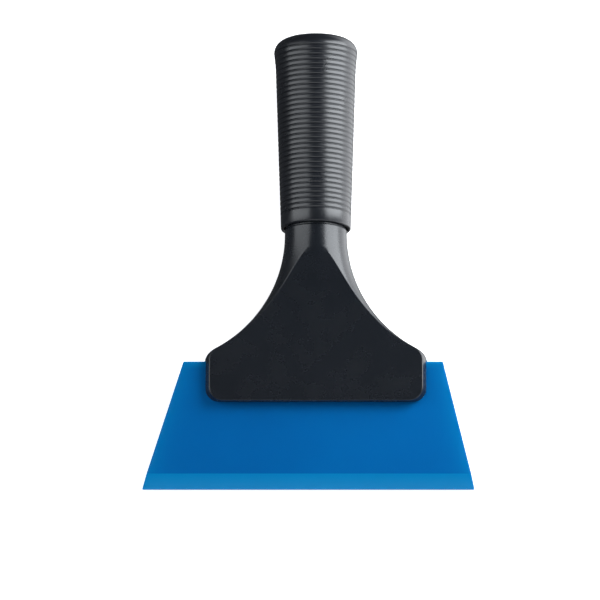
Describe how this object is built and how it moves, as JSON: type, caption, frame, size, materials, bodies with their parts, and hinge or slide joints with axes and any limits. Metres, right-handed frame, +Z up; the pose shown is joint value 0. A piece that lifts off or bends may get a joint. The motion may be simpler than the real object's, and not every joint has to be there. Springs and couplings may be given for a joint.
{
  "type": "squeegee applicator",
  "caption": "Hand squeegee with a trapezoid blade held in a fan-shaped two-jaw clamp, which a ribbed twist grip tightens.",
  "frame": {"origin": "middle of the box's underside: the tool lies on its back, on the rear jaw's lower edge and the grip's rim", "axes": "+Z up, +Y towards the handle's end, +X across the blade; the tool's own axis climbs 5.9 degrees towards the handle's end"},
  "size_m": [0.13, 0.1824, 0.0375],
  "materials": {
    "blade": "smooth translucent blue polyurethane",
    "handle_plastic": "satin moulded black",
    "grip_rubber": "satin ribbed black",
    "core_plastic": "moulded dark grey",
    "ring_plastic": "natural acetal",
    "steel": "zinc plated"
  },
  "bodies": {
    "rear_jaw": {"rear_jaw": "handle_plastic", "pivot_pin": "steel", "jaw_spring": "steel", "retaining_washer": "steel", "retaining_screw": "steel"},
    "front_jaw": {"front_jaw": "handle_plastic"},
    "blade": {"squeegee_blade": "blade"},
    "clamp_ring": {"clamp_ring": "ring_plastic"},
    "grip": {"grip_core": "core_plastic", "grip_sleeve": "grip_rubber", "end_plug": "core_plastic"}
  },
  "joints": [
    {"name": "grip_advance", "type": "slide", "parent": "rear_jaw", "child": "clamp_ring", "axis": [0, 0.9947, 0.1031], "range_m": [0, 0.006]},
    {"name": "grip_twist", "type": "hinge", "parent": "clamp_ring", "child": "grip", "pos_m": [0.00295, 0.05497, 0.01794], "axis": [0, 0.9947, 0.1031], "range_deg": [0, 540]},
    {"name": "jaw_open", "type": "hinge", "parent": "rear_jaw", "child": "front_jaw", "pos_m": [0.00295, 0.05497, 0.01794], "axis": [-1, 0, 0], "range_deg": [0, 1.2], "deforming": ["jaw_spring"]},
    {"name": "blade_slide", "type": "slide", "parent": "rear_jaw", "child": "blade", "axis": [0, -0.9947, -0.1031], "range_m": [0, 0.0175]}
  ],
  "couplings": [
    {"joint": "grip_twist", "follows": "grip_advance", "rad_per_m": 1570.8},
    {"joint": "jaw_open", "follows": "grip_advance", "rad_per_m": 3.4906}
  ]
}
